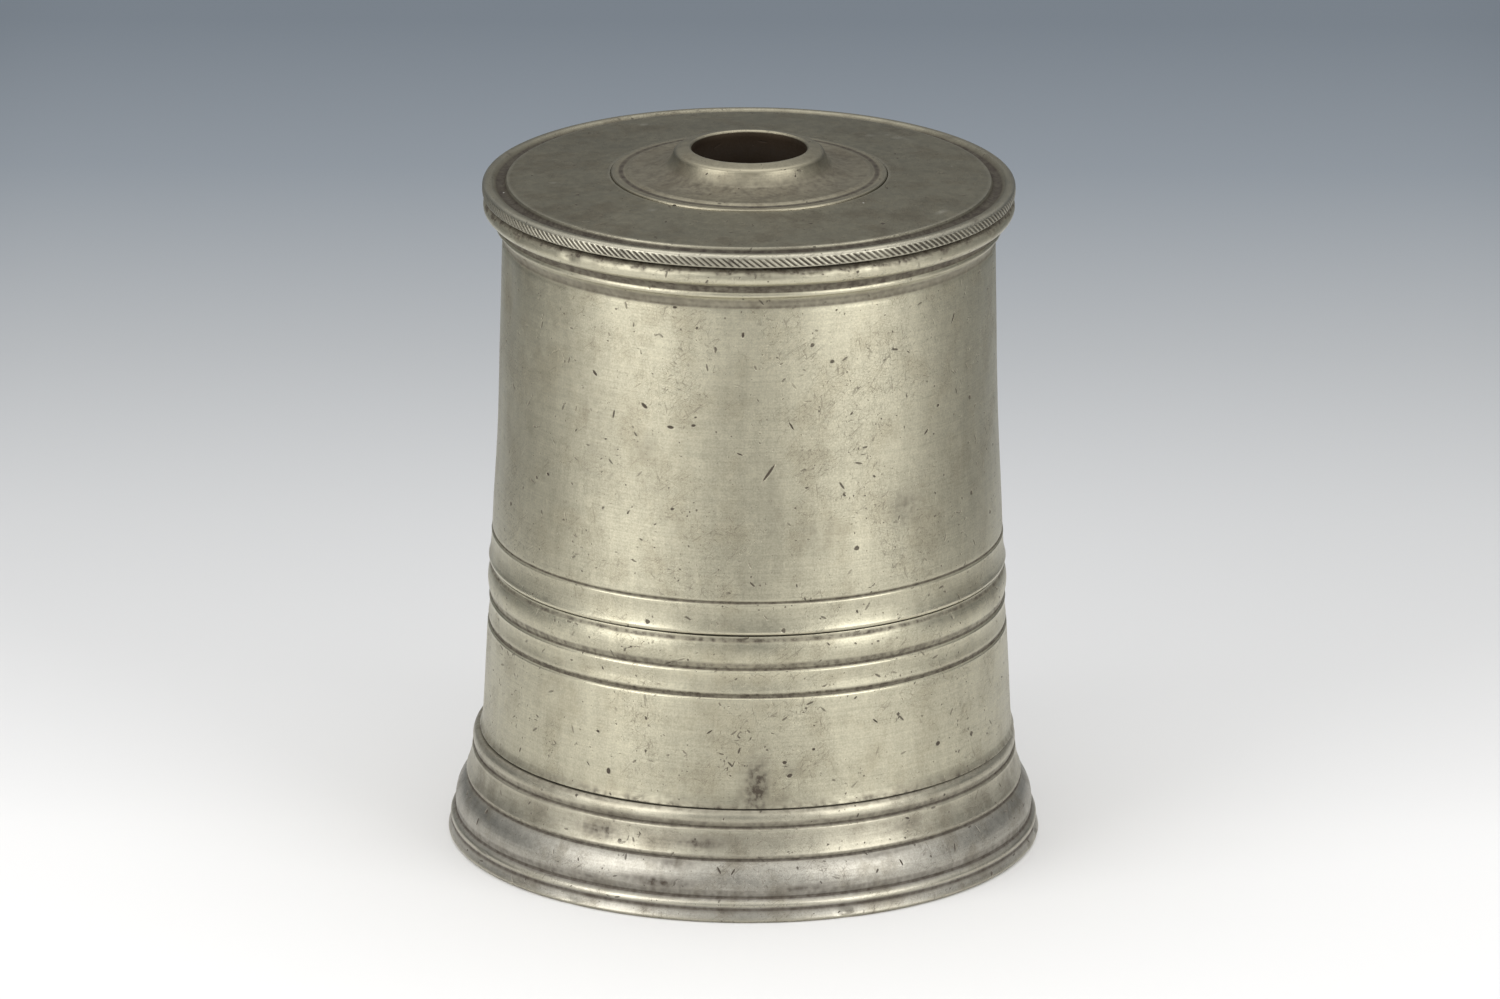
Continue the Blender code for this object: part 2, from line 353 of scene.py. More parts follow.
# Patches of the lid's top rubbed bright: angle, radius, half width round the lid and half width outwards
RUBS = (
    (134, 45.0 * MM, 5.5 * MM, 1.6 * MM),
    (140, 41.5 * MM, 2.0 * MM, 0.9 * MM),
    (-82, 42.7 * MM, 0.8 * MM, 0.8 * MM),
    (-37, 35.0 * MM, 1.3 * MM, 1.0 * MM),
    (-150, 47.0 * MM, 2.6 * MM, 0.8 * MM),
    (58, 49.0 * MM, 3.0 * MM, 0.7 * MM),
)


def rubs_at(places, normals, angles):
    """How bright each vertex of the lid's top is rubbed, unevenly, from 0 to 1."""
    radius = np.repeat(places[:, :1], angles.shape[1], axis=1)
    rub = np.zeros_like(angles)
    for angle, at, wide, outward in RUBS:
        across = np.radians(degrees_from(angles, angle)) * at
        near = np.exp(-2.5 * ((across / wide) ** 2 + ((radius - at) / outward) ** 2))
        rub = np.maximum(rub, near)
    return rub * np.clip(0.7 + 1.8 * noise_at(angles, radius, 600, 14), 0, 1) * (normals[:, 1:] > 0.7)


# Cuts and gouges that stand out: angle, height, half length, half width and slant, rising to the right
CUTS = {
    "upper_drum": (
        (4.8, 99.0 * MM, 2.9 * MM, 0.36 * MM, 55),
        (-37.5, 117.8 * MM, 0.9 * MM, 0.40 * MM, -45),
        (-24.2, 112.5 * MM, 1.0 * MM, 0.45 * MM, -40),
        (-17.8, 108.4 * MM, 0.9 * MM, 0.42 * MM, -5),
        (-12.4, 109.2 * MM, 0.6 * MM, 0.35 * MM, 10),
        (-1.2, 129.8 * MM, 0.8 * MM, 0.38 * MM, 85),
        (9.9, 109.3 * MM, 1.2 * MM, 0.22 * MM, -60),
        (55.0, 127.0 * MM, 1.5 * MM, 0.30 * MM, 62),
        (49.0, 108.6 * MM, 0.5 * MM, 0.38 * MM, 0),
        (45.0, 103.5 * MM, 0.9 * MM, 0.30 * MM, 40),
        (-17.0, 135.2 * MM, 0.6 * MM, 0.30 * MM, 0),
        (-1.8, 103.2 * MM, 0.9 * MM, 0.20 * MM, -20),
        (-52.0, 92.0 * MM, 0.6 * MM, 0.40 * MM, 0),
        (150.0, 101.0 * MM, 3.1 * MM, 0.40 * MM, -35),
        (-120.0, 88.0 * MM, 2.0 * MM, 0.35 * MM, 20),
    ),
    "lower_drum": (
        (-31.0, 29.6 * MM, 0.85 * MM, 0.6 * MM, 90),
        (8.2, 34.2 * MM, 0.6 * MM, 0.45 * MM, 0),
        (9.3, 31.2 * MM, 0.8 * MM, 0.50 * MM, 20),
        (14.6, 36.8 * MM, 0.4 * MM, 0.35 * MM, 0),
        (46.0, 33.0 * MM, 0.8 * MM, 0.60 * MM, 0),
        (-34.0, 38.0 * MM, 0.5 * MM, 0.35 * MM, 0),
        (-8.0, 41.0 * MM, 0.9 * MM, 0.20 * MM, 35),
        (29.0, 41.5 * MM, 0.9 * MM, 0.20 * MM, -40),
        (165.0, 37.0 * MM, 2.4 * MM, 0.40 * MM, 30),
    ),
    "foot_skirt": (
        (-67.0, 9.2 * MM, 1.1 * MM, 0.35 * MM, 80),
        (-4.8, 11.2 * MM, 1.1 * MM, 0.22 * MM, -60),
        (-2.0, 11.0 * MM, 1.0 * MM, 0.20 * MM, 60),
        (47.0, 10.0 * MM, 1.3 * MM, 0.22 * MM, 75),
        (33.0, 10.0 * MM, 0.9 * MM, 0.22 * MM, -70),
    ),
}
SMALL_CUTS = {"upper_drum": 2600, "lower_drum": 1900, "foot_skirt": 900, "lid_plate": 900, "lid_collar": 160}


def cuts_at(node, places, normals, lengths, angles):
    """For each vertex, where it lies in its nearest cut's own ellipse, and how strong the cut is.

    The first two values run from -1 to 1 inside the cut. Strength is 0 where another cut is about as near.
    """
    count = SMALL_CUTS.get(node, 40)
    draw = np.random.default_rng(sum(map(ord, node)))
    turn = draw.uniform(-math.pi, math.pi, count)
    along = draw.uniform(0, lengths[-1], count)
    long = 0.24 * MM * np.exp(1.7 * draw.uniform(0, 1, count) ** 2.4)
    wide = np.clip(long * draw.uniform(0.2, 0.8, count), 0.10 * MM, 0.26 * MM)
    slant = np.radians(draw.uniform(-80, 80, count))
    strength = draw.uniform(0.25, 0.95, count)
    placed = CUTS.get(node, ())
    if placed:
        outer = np.flatnonzero(normals[:, 0] > 0.2)
        angle, height, half_long, half_wide, lean = np.array(placed).T
        rows = outer[np.argmin(np.abs(places[outer, 1][None, :] - height[:, None]), axis=1)]
        exact = lengths[rows] + (height - places[rows, 1]) * np.sign(normals[rows, 0])
        sideways = (turn[:, None] - np.radians(angle)[None, :]) * places[:, 0].mean()
        apart = np.hypot(sideways, along[:, None] - exact[None, :])
        clear_of = np.min(apart, axis=1) > 5 * MM
        turn, along, long, wide, slant, strength = (
            np.concatenate([own[clear_of], extra])
            for own, extra in zip(
                (turn, along, long, wide, slant, strength),
                (np.radians(angle), exact, half_long, half_wide, np.radians(lean), np.ones(len(placed))),
            )
        )
    result = np.zeros((*angles.shape, 3))
    result[:, :, :2] = 9.0
    for row, (radius, length) in enumerate(zip(places[:, 0], lengths)):
        near = np.flatnonzero(np.abs(along - length) < 7 * MM)
        if len(near) < 2:
            continue
        round_by = ((angles[row][:, None] - turn[near][None, :] + math.pi) % math.tau - math.pi) * radius
        up_by = np.broadcast_to(length - along[near][None, :], round_by.shape)
        far = np.hypot(round_by, up_by) / np.sqrt(long[near])[None, :]
        order = np.argpartition(far, 1, axis=1)[:, :2]
        pick = np.arange(len(order))
        first, second = far[pick, order[:, 0]], far[pick, order[:, 1]]
        own = near[order[:, 0]]
        across, rise = round_by[pick, order[:, 0]], up_by[pick, order[:, 0]]
        cos, sin = np.cos(slant[own]), np.sin(slant[own])
        result[row, :, 0] = (across * cos + rise * sin) / long[own]
        result[row, :, 1] = (rise * cos - across * sin) / wide[own]
        result[row, :, 2] = strength[own] * (first < 0.72 * second)
    return result


# Turned pieces


def nicks(angles, places, normals, lean):
    """The milling on the lid's bead: 1 at the bottom of a nick and 0 on the lands between."""
    low, high = (corner.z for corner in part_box("lid_plate"))
    rise = places[:, 1] - low
    on_bead = np.clip((rise - 0.25 * MM) / (0.2 * MM), 0, 1) * np.clip((2.35 * MM - rise) / (0.35 * MM), 0, 1)
    on_bead *= np.clip((normals[:, 0] - 0.1) / 0.4, 0, 1)
    turns = (angles - lean[:, None]) / math.tau * NICK_COUNT
    across = np.abs((turns + 0.5) % 1 - 0.5)
    cut = np.clip(1.5 * (1 - across / 0.3), 0, 1)
    worn = 0.85 + 0.35 * noise_at(angles[:1], np.full_like(angles[:1], low), 160, 6)
    return cut * np.clip(worn, 0.35, 1) * on_bead[:, None]


def bead_lean(places, normals):
    """How far each row of the lid is turned, so that its columns follow the slanting nicks."""
    radius, height = places.T
    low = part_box("lid_plate")[0].z
    down_bead = np.clip((low + 2.5 * MM - height) / (2.2 * MM), 0, 1) * (radius > 0.9 * radius.max())
    underneath = (radius - radius.min()) / (radius.max() - radius.min())
    share = np.where(normals[:, 1] < -0.7, underneath, down_bead)
    return share * NICK_LEAN * math.tau / (NICK_COUNT * NICK_COLUMNS)


def spun_mesh(name, places, normals, angles, depth, low, high):
    """A closed mesh of the rows, each point pressed in along its normal by its depth, between two heights."""
    rows, columns = angles.shape
    radius = places[:, :1] - normals[:, :1] * depth
    height = np.clip(places[:, 1:] - normals[:, 1:] * depth, low, high)
    spots = np.stack([radius * np.sin(angles), -radius * np.cos(angles), height], axis=-1)
    row = np.arange(rows)[:, None] * columns
    column = np.arange(columns)[None, :]
    next_row = (row + columns) % (rows * columns)
    next_column = (column + 1) % columns
    faces = np.stack([row + column, row + next_column, next_row + next_column, next_row + column], axis=-1)
    mesh = bpy.data.meshes.new(name)
    mesh.from_pydata(spots.reshape(-1, 3).tolist(), [], faces.reshape(-1, 4).tolist())
    return mesh


def store(mesh, name, values):
    """Puts one number on each vertex."""
    mesh.attributes.new(name, "FLOAT", "POINT").data.foreach_set("value", values.astype(np.float32).ravel())


def unroll(mesh, places, lengths, columns):
    """A UV map in metres: round the piece, from its back, and along its outline."""
    girth = float(places[:, 0].mean()) * math.tau
    column = np.arange(columns) / columns * girth
    ends = np.append(lengths[1:], lengths[-1] + PATH_STEP)
    corners = np.empty((len(places), columns, 4, 2))
    corners[:, :, 0, 0] = corners[:, :, 3, 0] = column
    corners[:, :, 1, 0] = corners[:, :, 2, 0] = column + girth / columns
    corners[:, :, 0, 1] = corners[:, :, 1, 1] = lengths[:, None]
    corners[:, :, 2, 1] = corners[:, :, 3, 1] = ends[:, None]
    mesh.uv_layers.new(name="unrolled").data.foreach_set("uv", corners.astype(np.float32).ravel())


def plain_sink(angles, heights):
    return 0.03 * MM * noise_at(angles, heights, 90, 8)


def solder_sink(angles, heights):
    return 0.09 * MM * noise_at(angles, heights, 260, 9)


def collar_sink(angles, heights):
    """The flange swells at its edge until it all but fills its recess."""
    above = np.clip((heights - 149.75 * MM) / (0.1 * MM), 0, 1)
    below = np.clip((150.7 * MM - heights) / (0.2 * MM), 0, 1)
    return lid_sink(angles, heights) - 0.2 * MM * above * below


def turned(node, body, material, sink=plain_sink, columns=COLUMNS, aside=DRUM_ASIDE, milled=False):
    """A fine casting that stands for a node, spun from the node's outline."""
    places, normals, lengths, hollow, crease = rows_of(node)
    turn = np.arange(columns)[None, :] * math.tau / columns - math.pi
    lean = bead_lean(places, normals) if milled else np.zeros(len(places))
    angles = turn + lean[:, None]
    heights = np.repeat(places[:, 1:], columns, axis=1)
    depth = sink(angles, heights)
    marks = {
        "hollow": np.repeat(np.clip(hollow, 0, 1)[:, None], columns, axis=1),
        "crease": np.repeat(np.clip((crease - 0.2) / 0.5, 0, 1)[:, None], columns, axis=1),
        "ridge": np.repeat(np.clip((-crease - 0.25) / 0.9, 0, 1)[:, None], columns, axis=1),
        "inner": np.repeat(np.clip(-normals[:, :1] * 5 - 4, 0, 1), columns, axis=1),
        "shade": shade_at(node, places, angles, heights),
    }
    if milled:
        milling = nicks(angles, places, normals, lean)
        depth += NICK_DEPTH * milling
        # painted highlight, with wear: the bead's outer face takes the bright ridge colour between the nicks
        bead = np.clip(normals[:, :1] * 2.5 - 0.4, 0, 1) * (places[:, :1] > 0.96 * places[:, 0].max())
        marks["ridge"] = np.maximum(marks["ridge"] * 0.35, bead) * (1 - np.minimum(milling * 2, 1))
        marks["ridge"] = np.maximum(marks["ridge"], rubs_at(places, normals, angles))
        marks["crease"] = np.maximum(marks["crease"], np.minimum(milling * 1.3, 1))
    if node == "upper_drum":
        # painted shadow: the lip's top just under the lid is drawn black through the crease mark
        shadowed = np.clip((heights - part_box(node)[1].z + 1.2 * MM) / (0.5 * MM), 0, 1)
        marks["crease"] = np.maximum(marks["crease"], shadowed)
    if node == "lid_collar":
        marks["crease"] *= np.where(heights < 151.3 * MM, 1.0, 0.4)
    name = node + "_turned"
    low, high = (corner.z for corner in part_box(node))
    mesh = spun_mesh(name, places, normals, angles, depth, low, high)
    mesh.transform(Matrix.Translation((aside, 0, 0)))
    cut = cuts_at(node, places, normals, lengths, angles)
    carried = mesh.attributes.new("cut", "FLOAT_VECTOR", "POINT")
    carried.data.foreach_set("vector", cut.astype(np.float32).ravel())
    for mark, values in marks.items():
        store(mesh, mark, values)
    unroll(mesh, places, lengths, columns)
    finished(name, node, body, mesh, material)


def disc(node, body, material):
    """The loose-turned bottom disc: faint tool rings on both faces and eased edges."""
    low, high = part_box(node)
    radius = high.x
    ease = 0.25 * MM
    rings = np.linspace(0, radius - ease, 44)
    ripple = 0.02 * MM * (1 - np.cos(rings / (2.4 * MM) * math.tau)) + 0.05 * MM * np.exp(-rings / (6 * MM))
    lower = [(r, low.z + d) for r, d in zip(rings, ripple)]
    upper = [(r, high.z - d) for r, d in zip(rings, ripple)]
    name = node + "_turned"
    mesh = bpy.data.meshes.new(name)
    shape = bmesh.new()
    path = lower + [(radius, low.z + ease), (radius, high.z - ease)] + upper[::-1]
    verts = [shape.verts.new((r, 0, z)) for r, z in path]
    edges = [shape.edges.new(pair) for pair in zip(verts, verts[1:])]
    bmesh.ops.spin(shape, geom=verts + edges, axis=(0, 0, 1), cent=(0, 0, 0), angle=math.tau, steps=240)
    bmesh.ops.remove_doubles(shape, verts=shape.verts, dist=0.02 * MM)
    bmesh.ops.recalc_face_normals(shape, faces=shape.faces)
    shape.to_mesh(mesh)
    shape.free()
    mesh.transform(Matrix.Translation((DRUM_ASIDE, 0, 0)))
    for mark in ("hollow", "crease", "ridge", "shade"):
        store(mesh, mark, np.zeros(len(mesh.vertices)))
    store(mesh, "inner", np.full(len(mesh.vertices), 0.4))
    unrolled = mesh.uv_layers.new(name="unrolled")
    for loop in mesh.loops:
        x, y, _ = mesh.vertices[loop.vertex_index].co
        unrolled.data[loop.index].uv = (x + 0.2, y + 0.2)
    finished(name, node, body, mesh, material)


def finished(name, node, body, mesh, material):
    """Links the piece into the scene under its body, named after the node it stands for, and hides that node.
    """
    mesh.materials.append(material)
    mesh.shade_smooth()
    piece = bpy.data.objects.new(name, mesh)
    bpy.context.scene.collection.objects.link(piece)
    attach(piece, body)
    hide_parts(node)


# Materials


MARKS = ("hollow", "crease", "ridge", "inner", "shade")  # the meshes' vertex values that materials read


class Paint:
    """Builds one material's nodes. Lengths in a texture are in metres."""

    def __init__(self, name):
        self.material = bpy.data.materials.new(name)
        self.material.use_nodes = True
        self.tree = self.material.node_tree
        self.shader = self.tree.nodes["Principled BSDF"]
        self.place = self.make("TexCoord").outputs["Object"]
        self.unrolled = self.make("UVMap", uv_map="unrolled").outputs["UV"]

    def make(self, kind, inputs=None, **settings):
        made = self.tree.nodes.new("ShaderNode" + kind)
        for key, value in settings.items():
            setattr(made, key, value)
        for key, value in (inputs or {}).items():
            self.give(made.inputs[key], value)
        return made

    def give(self, socket, value):
        if isinstance(value, bpy.types.NodeSocket):
            self.tree.links.new(value, socket)
        else:
            socket.default_value = value

    def math(self, operation, first, second=0.0):
        return self.make("Math", {0: first, 1: second}, operation=operation).outputs[0]

    def add(self, *values):
        total = values[0]
        for value in values[1:]:
            total = self.math("ADD", total, value)
        return total

    def times(self, *values):
        total = values[0]
        for value in values[1:]:
            total = self.math("MULTIPLY", total, value)
        return total

    def most(self, *values):
        total = values[0]
        for value in values[1:]:
            total = self.math("MAXIMUM", total, value)
        return total

    def span(self, value, low, high, to_low=0.0, to_high=1.0):
        """The value's range between low and high, eased onto the range between to_low and to_high."""
        inputs = {"Value": value, "From Min": low, "From Max": high, "To Min": to_low, "To Max": to_high}
        return self.make("MapRange", inputs, interpolation_type="SMOOTHSTEP").outputs["Result"]

    def stretched(self, vector, sizes, turn=0.0, shift=0.0):
        """The coordinates turned about Z and divided by sizes in metres."""
        scale = tuple(1 / size for size in sizes)
        turned_by = self.make("VectorRotate", {"Vector": vector, "Angle": turn}).outputs[0]
        moved = self.make("VectorMath", {0: turned_by, 1: (shift, shift * 0.7, shift * 0.3)}).outputs[0]
        return self.make("VectorMath", {0: moved, 1: scale}, operation="MULTIPLY").outputs[0]

    def cloud(self, vector, size, detail=3.0, rough=0.5, sharp=(0.3, 0.7)):
        """Soft noise from 0 to 1."""
        inputs = {"Vector": vector, "Scale": 1 / size, "Detail": detail, "Roughness": rough}
        return self.span(self.make("TexNoise", inputs).outputs["Fac"], *sharp)

    def specks(self, vector, size, share, radius):
        """Specks in a share of the cells: 1 inside, fading at the rim.

        radius is the largest speck's, as a share of the cell.
        """
        cells = self.make("TexVoronoi", {"Vector": vector, "Scale": 1 / size}, voronoi_dimensions="3D")
        chance = self.make("SeparateColor", {0: cells.outputs["Color"]}).outputs
        kept = self.span(chance[0], 1 - share, 1 - share + 0.02)
        reach = self.span(chance[1], 0, 1, radius * 0.35, radius)
        near = self.math("DIVIDE", cells.outputs["Distance"], reach)
        return self.times(self.span(near, 0.7, 1.0, 1, 0), kept)

    def cuts(self):
        """The cuts and pits that the mesh carries: their strength inside, fading at the rim."""
        at = self.make("Attribute", attribute_name="cut").outputs["Vector"]
        flat = self.make("VectorMath", {0: at, 1: (1, 1, 0)}, operation="MULTIPLY").outputs[0]
        far = self.make("VectorMath", {0: flat}, operation="LENGTH").outputs["Value"]
        return self.times(self.span(far, 0.6, 1.0, 1, 0), self.make("SeparateXYZ", {0: at}).outputs["Z"])

    def lines(self, vector, thin):
        """Long hairlines along the vector's stretch."""
        wave = self.make("TexNoise", {"Vector": vector, "Scale": 1.0, "Detail": 0.0}).outputs["Fac"]
        return self.span(self.math("ABSOLUTE", self.math("SUBTRACT", wave, 0.5)), 0, thin, 1, 0)

    def blend(self, share, first, second):
        made = self.make("Mix", data_type="RGBA")
        for key, value in ((0, share), (6, first), (7, second)):
            self.give(made.inputs[key], value)
        return made.outputs[2]

    def shaded(self, colour, amount):
        """The colour multiplied by a number."""
        grey = self.make("CombineColor", {0: amount, 1: amount, 2: amount}).outputs[0]
        made = self.make("Mix", data_type="RGBA", blend_type="MULTIPLY")
        for key, value in ((0, 1.0), (6, colour), (7, grey)):
            self.give(made.inputs[key], value)
        return made.outputs[2]

    def mark(self, name):
        return self.make("Attribute", attribute_name=name).outputs["Fac"]


def clear(colour):
    """The colour with full alpha."""
    return (*colour, 1.0)


def pewter(
    name, bright, stain, grime_and_shade, patina=0.35, pitted=1.0, rough=0.33, inside=None, silvery=None, worn=None
):
    """Old pewter worn by handling: mottled bright metal, patina in its hollows, pits, dashes and hairlines.

    inside is the colour of its inward faces, and worn of the ridges, painted bright as wear and highlight.
    silvery is a height and the colour of the metal below it.
    """
    p = Paint(name)
    place = p.place
    flat = p.unrolled
    hollow, crease, ridge, inner, shade = (p.mark(mark) for mark in MARKS)

    broad = p.cloud(place, 30 * MM, 2.0)
    patch = p.cloud(place, 9 * MM, 5.0, 0.62, (0.45, 0.70))
    mottle = p.cloud(place, 2.2 * MM, 4.0, 0.7)
    grain = p.cloud(place, 0.40 * MM, 2.0, 0.65)
    lathe = p.cloud(p.stretched(place, (24 * MM, 24 * MM, 0.42 * MM)), 1.0, 2.0, 0.6)
    drip = p.cloud(p.stretched(place, (1.8 * MM, 1.8 * MM, 26 * MM)), 1.0, 3.0, 0.6)
    streak = p.cloud(p.stretched(place, (9 * MM, 9 * MM, 0.9 * MM)), 1.0, 4.0, 0.6, (0.45, 0.7))

    crooked = p.make("TexNoise", {"Vector": place, "Scale": 1100.0, "Detail": 1.0}).outputs["Color"]
    wander = p.make("VectorMath", {0: crooked, 1: (0.0007, 0.0007, 0.0007)}, operation="MULTIPLY").outputs[0]
    ragged = p.make("VectorMath", {0: place, 1: wander}).outputs[0]
    pits = p.specks(ragged, 5.0 * MM, 0.30 * pitted, 0.13)
    small_pits = p.specks(ragged, 1.9 * MM, 0.45 * pitted, 0.15)
    fine_pits = p.specks(ragged, 0.9 * MM, 0.50 * pitted, 0.17)
    pale_specks = p.specks(ragged, 6.5 * MM, 0.10 * pitted, 0.06)
    scratched = p.cloud(place, 18 * MM, 3.0, 0.6, (0.42, 0.60))
    hairs = []
    for turn, shift in ((0.35, 0.2), (-0.6, 0.5), (1.35, 0.8), (2.3, 0.35)):
        hairs.append(p.lines(p.stretched(flat, (7 * MM, 1.0 * MM, 1.0), turn, shift), 0.013))
    hair = p.times(p.most(*hairs), scratched)
    cuts = p.cuts()

    dirt = p.cloud(place, 1.6 * MM, 5.0, 0.75, (0.38, 0.66))
    settled = p.times(hollow, p.add(0.25, p.times(dirt, 0.35)))
    # the crease and shade marks hold patina and dirt, and also painted shade and shadow: under the lid, over
    # the foot and in the bands
    crease_dirt_and_shadow = p.times(crease, p.add(0.75, p.times(dirt, 0.25)))
    smudge_and_shade = p.times(shade, p.add(0.55, p.times(dirt, 0.6)))
    film = p.times(p.add(p.times(patch, 0.6), p.times(streak, 0.3), p.times(dirt, 0.25)), patina)
    holes = p.most(p.times(pits, 0.9), p.times(small_pits, 0.8), p.times(fine_pits, 0.55), cuts)
    grime_and_shade_mask = p.math("MINIMUM", p.most(settled, crease_dirt_and_shadow, smudge_and_shade, holes, p.times(hair, 0.5)), 1.0)

    height = p.make("SeparateXYZ", {0: place}).outputs["Z"]
    # Painted shade: the drum is drawn darker round its middle and low down, over the foot, for the dimmer
    # reflections there
    dimmed_middle = p.times(p.span(height, 52 * MM, 76 * MM), p.span(height, 92 * MM, 124 * MM, 1, 0))
    tone = p.add(
        0.72,
        p.times(dimmed_middle, -0.08),
        p.times(p.span(height, 24 * MM, 52 * MM, 1, 0), -0.10),
        p.times(broad, 0.10),
        p.times(mottle, 0.10),
        p.times(grain, 0.22),
        p.times(lathe, 0.10),
        p.times(drip, 0.09),
    )
    if silvery:
        metal = p.blend(p.span(height, silvery[0] - MM, silvery[0] + MM), clear(silvery[1]), clear(bright))
    else:
        metal = clear(bright)
    metal = p.shaded(p.blend(p.times(patch, patina), metal, clear(stain)), tone)
    metal = p.blend(p.times(film, 0.6), metal, p.shaded(clear(stain), 0.6))
    # ridges and the lid's bead: worn metal with a painted highlight
    worn_and_highlit = worn or tuple(c * 1.25 for c in bright)
    metal = p.blend(p.times(ridge, 0.9 if worn else 0.5), metal, clear(worn_and_highlit))
    # inward faces take the darker inside colour: painted shade inside the vessel and the lid's hole
    metal = p.blend(inner, metal, clear(inside or tuple(c * 0.6 for c in bright)))
    metal = p.blend(grime_and_shade_mask, metal, clear(grime_and_shade))
    # pale specks: small scratches, with a painted glint
    metal = p.blend(p.times(pale_specks, 0.55), metal, clear((0.82, 0.80, 0.74)))

    shine = p.add(
        rough,
        p.times(mottle, 0.05),
        p.times(film, 0.14),
        p.times(grime_and_shade_mask, 0.22),
        p.times(ridge, -0.07),
        p.times(inner, 0.25),
    )
    relief = p.add(
        p.times(grain, 0.006 * MM),
        p.times(mottle, 0.012 * MM),
        p.times(lathe, 0.004 * MM),
        p.times(pits, -0.10 * MM),
        p.times(small_pits, -0.05 * MM),
        p.times(fine_pits, -0.02 * MM),
        p.times(hair, -0.015 * MM),
        p.times(cuts, -0.14 * MM),
    )
    bump = p.make("Bump", {"Height": relief, "Distance": 1.0, "Strength": 1.0})
    p.give(p.shader.inputs["Base Color"], metal)
    p.give(p.shader.inputs["Metallic"], p.math("SUBTRACT", 1.0, p.times(grime_and_shade_mask, 0.6)))
    p.give(p.shader.inputs["Roughness"], shine)
    p.give(p.shader.inputs["Normal"], bump.outputs["Normal"])
    return p.material


# Pieces

drum_metal = pewter(
    "Drum pewter",
    bright=(0.515, 0.485, 0.365),
    stain=(0.41, 0.365, 0.255),
    grime_and_shade=(0.070, 0.055, 0.038),
    inside=(0.22, 0.20, 0.16),
)
foot_metal = pewter(
    "Foot pewter",
    bright=(0.47, 0.44, 0.345),
    stain=(0.25, 0.22, 0.16),
    grime_and_shade=(0.065, 0.050, 0.036),
    patina=0.48,
    pitted=0.8,
    rough=0.36,
    inside=(0.2, 0.18, 0.15),
    silvery=(13.2 * MM, (0.45, 0.428, 0.37)),
)
lid_grime_and_shade = (0.035, 0.026, 0.018)
lid_metal = pewter(
    "Lid pewter",
    bright=(0.235, 0.218, 0.16),
    stain=(0.165, 0.145, 0.102),
    grime_and_shade=lid_grime_and_shade,
    patina=0.6,
    pitted=0.9,
    rough=0.38,
    worn=(0.46, 0.435, 0.35),
)
collar_metal = pewter(
    "Collar pewter",
    bright=(0.29, 0.265, 0.195),
    stain=(0.20, 0.172, 0.12),
    grime_and_shade=lid_grime_and_shade,
    patina=0.5,
    pitted=0.7,
    rough=0.40,
    # painted shade: the hole's inward faces are near black
    inside=(0.060, 0.042, 0.028),
)
inside_metal = pewter(
    "Inside pewter",
    bright=(0.42, 0.41, 0.36),
    stain=(0.28, 0.24, 0.18),
    grime_and_shade=(0.07, 0.055, 0.04),
    patina=0.6,
)
solder_metal = pewter(
    "Solder",
    bright=(0.36, 0.36, 0.34),
    stain=(0.26, 0.24, 0.20),
    grime_and_shade=(0.06, 0.05, 0.04),
    patina=0.5,
    pitted=0.5,
    rough=0.45,
)

turned("upper_drum", "vessel", drum_metal, drum_sink)
turned("lower_drum", "vessel", drum_metal, drum_sink)
turned("foot_skirt", "vessel", foot_metal, foot_sink, aside=0.0)
disc("bottom_disc", "vessel", inside_metal)
turned("floor_solder", "vessel", solder_metal, solder_sink, SEAM_COLUMNS)
turned("foot_solder", "vessel", solder_metal, solder_sink, SEAM_COLUMNS)
turned("lid_plate", "lid", lid_metal, lid_sink, NICK_COUNT * NICK_COLUMNS, milled=True)
turned("lid_collar", "lid", collar_metal, collar_sink, COLLAR_COLUMNS)
turned("lid_bezel", "lid", inside_metal)
turned("bezel_solder", "lid", solder_metal, solder_sink, SEAM_COLUMNS)
turned("collar_solder", "lid", solder_metal, solder_sink, SEAM_COLUMNS)


# Studio


